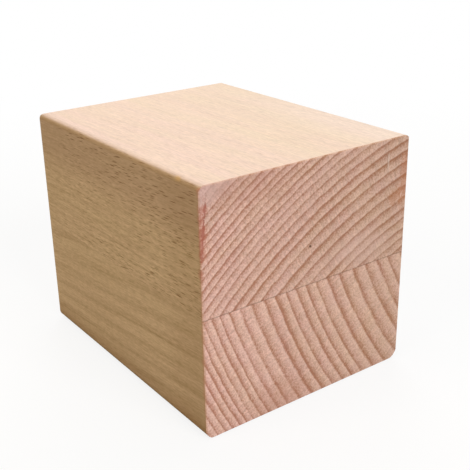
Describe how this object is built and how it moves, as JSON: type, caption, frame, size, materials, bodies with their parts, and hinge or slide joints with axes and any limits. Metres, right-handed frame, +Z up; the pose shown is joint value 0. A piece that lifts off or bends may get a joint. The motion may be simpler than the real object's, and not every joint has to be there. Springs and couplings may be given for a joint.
{
  "type": "wooden furniture foot",
  "caption": "Solid square hardwood furniture foot, glued up from staves, with rounded long edges and plain sawn end-grain ends.",
  "frame": {"origin": "middle of the long side that the foot lies on, at the height of the surface under it", "axes": "+Z up, as the foot lies; +Y along the grain, so the sawn ends face -Y and +Y; +X across the grain"},
  "size_m": [0.08, 0.1, 0.08],
  "materials": {
    "lower_beech": "sanded beech, unfinished",
    "upper_beech": "sanded beech, unfinished"
  },
  "bodies": {
    "root": {"lower_stave": "lower_beech", "upper_stave": "upper_beech"}
  },
  "joints": []
}
